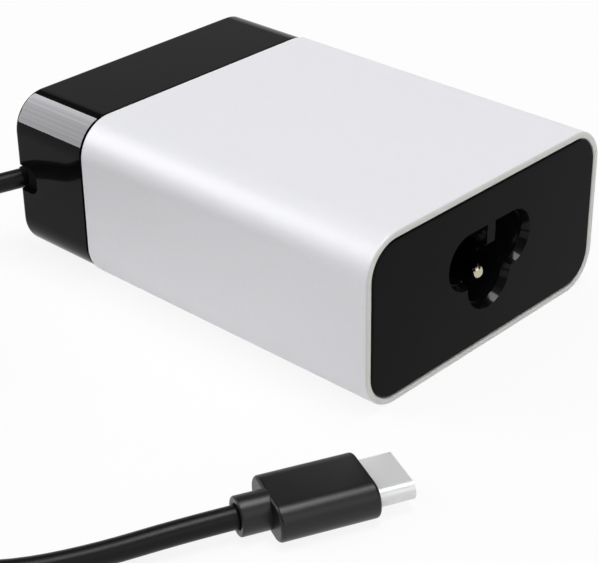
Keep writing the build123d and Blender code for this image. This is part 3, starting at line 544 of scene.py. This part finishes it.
# Each inner finish: its name, two tones, the size of its blotches in millimetres, its roughness
# and how metallic it is, and the pieces that have it.
INSIDE_FINISHES = (
    # Filled phenolic, moulded: satin black with faint flow marks.
    ("black_moulded_case", "#101011", "#1B1B1C", 0.8, 0.5, 0.0,
     ("fuse", "bridge_rectifier", "switch_transistor", "optocoupler", "controller_chip",
      "transformer_bobbin", "transformer_base")),
    # ABS from a plain tool: an even half-gloss black.
    ("black_lining_abs", "#0C0C0D", "#151516", 1.5, 0.45, 0.0, ("inner_tray", "inner_cover")),
    # Solder mask, curtain coated over copper: dark green with a low gloss.
    ("green_solder_mask", "#0B3B22", "#14512F", 2.2, 0.35, 0.0,
     ("main_board", "controller_board", "plug_board")),
    # Ferrite, pressed and sintered: grey, matt and a little speckled.
    ("sintered_ferrite", "#222324", "#38393B", 0.4, 0.6, 0.0, ("choke_core", "transformer_core")),
    # Heat-shrunk sleeve of a capacitor's can: glossy navy film.
    ("capacitor_sleeve", "#141C33", "#1D2A4A", 2.0, 0.3, 0.0,
     ("bulk_capacitor", "output_capacitors")),
    # Rolled aluminium, left as it is: a soft grey metal.
    ("mill_finish_aluminium", "#B9BBBD", "#D2D3D5", 0.5, 0.35, 1.0,
     ("heatsink", "heat_spreader", "clamp_screw")),
    # Moulded box of a film capacitor: plain yellow with a low gloss.
    ("yellow_film_case", "#B98A12", "#D9A51D", 2.0, 0.4, 0.0, ("film_capacitor",)),
    # Lacquer, dipped: a glossy skin that is a little uneven.
    ("blue_disc_lacquer", "#173F80", "#2256A4", 1.2, 0.3, 0.0, ("safety_capacitor",)),
    ("green_disc_lacquer", "#143A22", "#1F5231", 1.2, 0.35, 0.0, ("inrush_thermistor",)),
    # Ferrite in resin, pressed: a smooth mid grey.
    ("grey_ferrite_case", "#3A3B3E", "#515256", 0.9, 0.5, 0.0, ("output_choke",)),
    # Filled silicone, calendered: a chalky grey blue.
    ("silicone_pad", "#7C8794", "#93A0AE", 1.1, 0.7, 0.0, ("thermal_pad",)),
    # Polyester film: smooth and straw coloured.
    ("insulating_film", "#CFC7A2", "#E2DBB8", 3.0, 0.4, 0.0, ("insulating_sheet",)),
    # PVC, extruded over strands: a dark red half gloss.
    ("wire_insulation", "#5A0D0D", "#7C1414", 0.8, 0.4, 0.0, ("output_wires",)),
)


class ADAPTER_OT_inside(bpy.types.Operator):
    """Finish the sealed pieces: circuit boards and what they carry"""
    bl_idname = "adapter.inside"
    bl_label = "Inside"

    def execute(self, context):
        for *finish, pieces in INSIDE_FINISHES:
            dress(plain_finish(*finish), *pieces)
        dress(copper_turns(), "choke_windings", "transformer_winding")
        return {"FINISHED"}


# ---------------------------------------------------------------- stage
CAMERA_PLACE = (-166.61, -157.51, 126.63)
CAMERA_AZIMUTH, CAMERA_ELEVATION, CAMERA_ROLL = -46.5063, 29.5017, -0.8131
SENSOR_WIDTH, CLIP_START = 36.0, 0.01
# Each lamp's name, its setting, its place, the point that it faces, and its width and height.
LAMPS = (
    ("overhead_box", "overhead", (0.09, -0.10, 1.0), (0, 0, 0), (0.5, 0.28)),
    ("left_box", "left_lamp", (-0.75, 0.05, 0.5), (0, 0, 0.02), (0.5, 0.6)),
    ("rear_box", "rear_lamp", (-0.42, 0.62, 0.50), (0, 0, 0.02), (0.55, 0.6)),
    ("front_box", "front_lamp", (-0.14, -0.80, 0.56), (0, 0, 0.01), (0.8, 0.6)),
)
# Limits of the wall and ceiling, as Y and Z of a unit vector that points at the sky.
WALL_EDGE = (-0.3, 0.4)
WALL_TOP = (0.48, 0.54)
CEILING_EDGE = (0.72, 0.92)
# The arch: the radius of its drum, its turn in degrees from +X, its ends along Y, and the points
# round it.
ARCH_RADIUS, ARCH_TURN, ARCH_ALONG, ARCH_STEPS = 1.2, (72.0, 176.0), (0.7, 2.2), 36
# The folds in its cloth: how wide they are, the scale that draws them out along Y, and how dark
# and how bright they are beside the arch's radiance.
FOLD, FOLD_STRETCH, FOLD_SHADE = 0.12, 0.02, (0.65, 1.35)
# The sweep: the rings of points on its flat and on its rise, from radius to radius, how steeply
# it rises, and the points in a ring.
SWEEP_FLAT, FLAT_RINGS = (0.0, 2.0), 9
SWEEP_CURVE, CURVE_RINGS = (2.2, 4.0), 12
SWEEP_RISE, SWEEP_SIDES = 0.3, 96


def camera_turn():
    """Rotation of the camera from its azimuth, elevation and roll about its own line of sight."""
    azimuth, elevation, roll = (math.radians(a) for a in
                                (CAMERA_AZIMUTH, CAMERA_ELEVATION, CAMERA_ROLL))
    back = Vector((math.sin(azimuth) * math.cos(elevation),
                   -math.cos(azimuth) * math.cos(elevation), math.sin(elevation)))
    right = Vector((math.cos(azimuth), math.sin(azimuth), 0.0))
    up = back.cross(right)
    tilted_right = right * math.cos(roll) + up * math.sin(roll)
    tilted_up = up * math.cos(roll) - right * math.sin(roll)
    return Matrix((tilted_right, tilted_up, back)).transposed()


def lamp(name, radiance, place, aim, size):
    """A rectangular soft lamp at place, facing aim, whose surface has the given radiance."""
    data = bpy.data.lights.new(name, "AREA")
    data.shape = "RECTANGLE"
    data.size, data.size_y = size
    data.energy = radiance * math.pi * size[0] * size[1]
    light = bpy.data.objects.new(name, data)
    light.location = place
    light.rotation_euler = (Vector(place) - Vector(aim)).to_track_quat("Z", "Y").to_euler()
    bpy.context.scene.collection.objects.link(light)


def white_sweep(settings):
    """Matt white card, which is lifted to white where it is seen or mirrored.

    The lift is partial, so that the object's shadow stays on it.
    """
    material, tree = new_material("matt_white_card")
    fibres = mottle(tree, size=1.5 * MM, detail=3.0,
                    tones=shades(settings.floor_white, 0.99, 1.01))
    card = add_node(tree, "ShaderNodeBsdfDiffuse", {"Color": fibres["Base Color"]})
    glow = add_node(tree, "ShaderNodeEmission", {"Color": (1, 1, 1, 1), "Strength": 1.0})
    ray = add_node(tree, "ShaderNodeLightPath").outputs
    seen = add_node(tree, "ShaderNodeMath",
                    {0: ray["Is Camera Ray"], 1: ray["Is Transmission Ray"]}, operation="MAXIMUM")
    shown = add_node(tree, "ShaderNodeMath", {0: seen.outputs[0], 1: ray["Is Glossy Ray"]},
                     operation="MAXIMUM")
    lift = add_node(tree, "ShaderNodeMath", {0: shown.outputs[0], 1: settings.floor_glow},
                    operation="MULTIPLY")
    mix = add_node(tree, "ShaderNodeMixShader", {0: lift.outputs[0], 1: card.outputs["BSDF"],
                                                 2: glow.outputs["Emission"]})
    add_node(tree, "ShaderNodeOutputMaterial", {"Surface": mix.outputs["Shader"]})
    return material


def studio_sky(settings):
    """Even light from a pale wall behind the object and a pale ceiling; the rest is dark.

    The strength at a direction is the wall's, which fades to the dark toward -Y and above its
    top, plus the ceiling's, which grows from zero toward the point straight above.
    """
    world = bpy.data.worlds.new("studio_sky")
    world.use_nodes = True
    tree = world.node_tree
    tree.nodes.clear()
    way = add_node(tree, "ShaderNodeTexCoord").outputs["Generated"]
    axes = add_node(tree, "ShaderNodeSeparateXYZ", {"Vector": way}).outputs
    lit = add_node(tree, "ShaderNodeMapRange",
                   {"Value": axes["Y"], "From Min": WALL_EDGE[0], "From Max": WALL_EDGE[1],
                    "To Min": settings.gap, "To Max": settings.wall},
                   interpolation_type="SMOOTHSTEP").outputs["Result"]
    wall = add_node(tree, "ShaderNodeMapRange",
                    {"Value": axes["Z"], "From Min": WALL_TOP[0], "From Max": WALL_TOP[1],
                     "To Min": lit, "To Max": settings.gap},
                    interpolation_type="SMOOTHSTEP").outputs["Result"]
    ceiling = add_node(tree, "ShaderNodeMapRange",
                       {"Value": axes["Z"], "From Min": CEILING_EDGE[0],
                        "From Max": CEILING_EDGE[1], "To Max": settings.ceiling - settings.gap},
                       interpolation_type="SMOOTHSTEP").outputs["Result"]
    strength = add_node(tree, "ShaderNodeMath", {0: wall, 1: ceiling}).outputs[0]
    sky = add_node(tree, "ShaderNodeBackground", {"Color": (1, 1, 1, 1), "Strength": strength})
    add_node(tree, "ShaderNodeOutputWorld", {"Surface": sky.outputs["Background"]})
    return world


def lit_cloth(settings):
    """White cotton cloth with a lamp behind it: soft folds along Y, lighter and darker."""
    material, tree = new_material("lit_white_cloth")
    place = add_node(tree, "ShaderNodeTexCoord").outputs["Object"]
    folded = add_node(tree, "ShaderNodeMapping",
                      {"Vector": place, "Scale": (1.0, FOLD_STRETCH, 1.0)}).outputs["Vector"]
    folds = add_node(tree, "ShaderNodeTexNoise", {"Vector": folded, "Scale": 1.0 / FOLD,
                                                  "Detail": 3.0, "Roughness": 0.6})
    strength = add_node(tree, "ShaderNodeMapRange", {"Value": folds.outputs["Fac"],
                                                     "To Min": settings.arch * FOLD_SHADE[0],
                                                     "To Max": settings.arch * FOLD_SHADE[1]})
    glow = add_node(tree, "ShaderNodeEmission", {"Color": linear("#FAFAFF"),
                                                 "Strength": strength.outputs["Result"]})
    add_node(tree, "ShaderNodeOutputMaterial", {"Surface": glow.outputs["Emission"]})
    return material


def reflecting_arch(settings):
    """White cloth arched over the back left, which shows only as a mirrored shape in the end cap.

    Points lie at the drum's radius round an axis along Y, from the turn's start at the upper
    right to its end just over the floor on the left, and from one end of the drum to the other.
    Light linking keeps its light off every piece but the cap.
    """
    turn = np.radians(np.linspace(*ARCH_TURN, ARCH_STEPS))[:, None]
    along = np.array(ARCH_ALONG)[None, :]
    points = np.stack(np.broadcast_arrays(ARCH_RADIUS * np.cos(turn), along,
                                          ARCH_RADIUS * np.sin(turn)), axis=-1)
    mesh = grid_mesh("arch", points)
    mesh.materials.append(lit_cloth(settings))
    arch = bpy.data.objects.new("arch", mesh)
    bpy.context.scene.collection.objects.link(arch)
    arch.visible_camera = arch.visible_diffuse = arch.visible_shadow = False
    arch.visible_transmission = False
    lit = bpy.data.collections.new("lit_by_arch")
    lit.objects.link(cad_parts["rear_cap"])
    arch.light_linking.receiver_collection = lit


def sweep_mesh():
    """A disc that is flat near the object and curves up at its edge.

    The height is zero on the flat, and past its edge SWEEP_RISE times the square of the way
    beyond.  A ring of points has the same radius and height at every angle.
    """
    radius = np.concatenate([np.linspace(*SWEEP_FLAT, FLAT_RINGS),
                             np.linspace(*SWEEP_CURVE, CURVE_RINGS)])
    height = SWEEP_RISE * np.clip(radius - SWEEP_FLAT[1], 0.0, None) ** 2
    angle = np.linspace(0.0, 2 * np.pi, SWEEP_SIDES, endpoint=False)
    points = np.stack([radius[:, None] * np.cos(angle), radius[:, None] * np.sin(angle),
                       np.broadcast_to(height[:, None], (len(radius), len(angle)))], axis=-1)
    return grid_mesh("sweep", points, closed=True)


class ADAPTER_OT_stage(bpy.types.Operator):
    """Set up the floor, the light and the camera"""
    bl_idname = "adapter.stage"
    bl_label = "Stage"

    def execute(self, context):
        scene = context.scene
        settings = scene.adapter_stage
        mesh = sweep_mesh()
        mesh.materials.append(white_sweep(settings))
        sweep = bpy.data.objects.new("sweep", mesh)
        scene.collection.objects.link(sweep)

        scene.world = studio_sky(settings)
        for name, setting, *shape in LAMPS:
            lamp(name, getattr(settings, setting), *shape)
        reflecting_arch(settings)

        data = bpy.data.cameras.new("camera")
        data.sensor_fit = "HORIZONTAL"
        data.sensor_width = SENSOR_WIDTH
        data.lens = settings.lens
        data.clip_start = CLIP_START
        camera = bpy.data.objects.new("camera", data)
        camera.matrix_world = (Matrix.Translation(Vector(CAMERA_PLACE) * MM)
                               @ camera_turn().to_4x4())
        scene.collection.objects.link(camera)
        scene.camera = camera
        scene.view_settings.view_transform = "Standard"
        return {"FINISHED"}


# ---------------------------------------------------------------- add-on
class ADAPTER_PT_panel(bpy.types.Panel):
    """Lists the adapter's settings and the steps that build it"""
    bl_idname = "ADAPTER_PT_panel"
    bl_label = "Power adapter"
    bl_space_type = "VIEW_3D"
    bl_region_type = "UI"
    bl_category = "Adapter"

    def draw(self, context):
        for name, kind in SETTINGS.items():
            box = self.layout.box()
            for field in kind.__annotations__:
                box.prop(getattr(context.scene, name), field)
        for operator in OPERATORS:
            self.layout.operator(operator.bl_idname)


SETTINGS = {"adapter_housing": HousingSettings, "adapter_cord": CordSettings,
            "adapter_plug": PlugSettings, "adapter_stage": StageSettings}
OPERATORS = (ADAPTER_OT_stage, ADAPTER_OT_cord, ADAPTER_OT_housing, ADAPTER_OT_inlet,
             ADAPTER_OT_plug, ADAPTER_OT_inside)


def register():
    """Register the settings, the steps and the panel."""
    for kind in (*SETTINGS.values(), *OPERATORS, ADAPTER_PT_panel):
        bpy.utils.register_class(kind)
    for name, kind in SETTINGS.items():
        setattr(bpy.types.Scene, name, PointerProperty(type=kind))


def unregister():
    """Undo register."""
    for name in SETTINGS:
        delattr(bpy.types.Scene, name)
    for kind in (ADAPTER_PT_panel, *reversed(OPERATORS), *SETTINGS.values()):
        bpy.utils.unregister_class(kind)


def main():
    """Run every step in order."""
    register()
    bpy.ops.adapter.stage()
    bpy.ops.adapter.cord()
    bpy.ops.adapter.housing()
    bpy.ops.adapter.inlet()
    bpy.ops.adapter.plug()
    bpy.ops.adapter.inside()


if __name__ == "__main__":
    main()
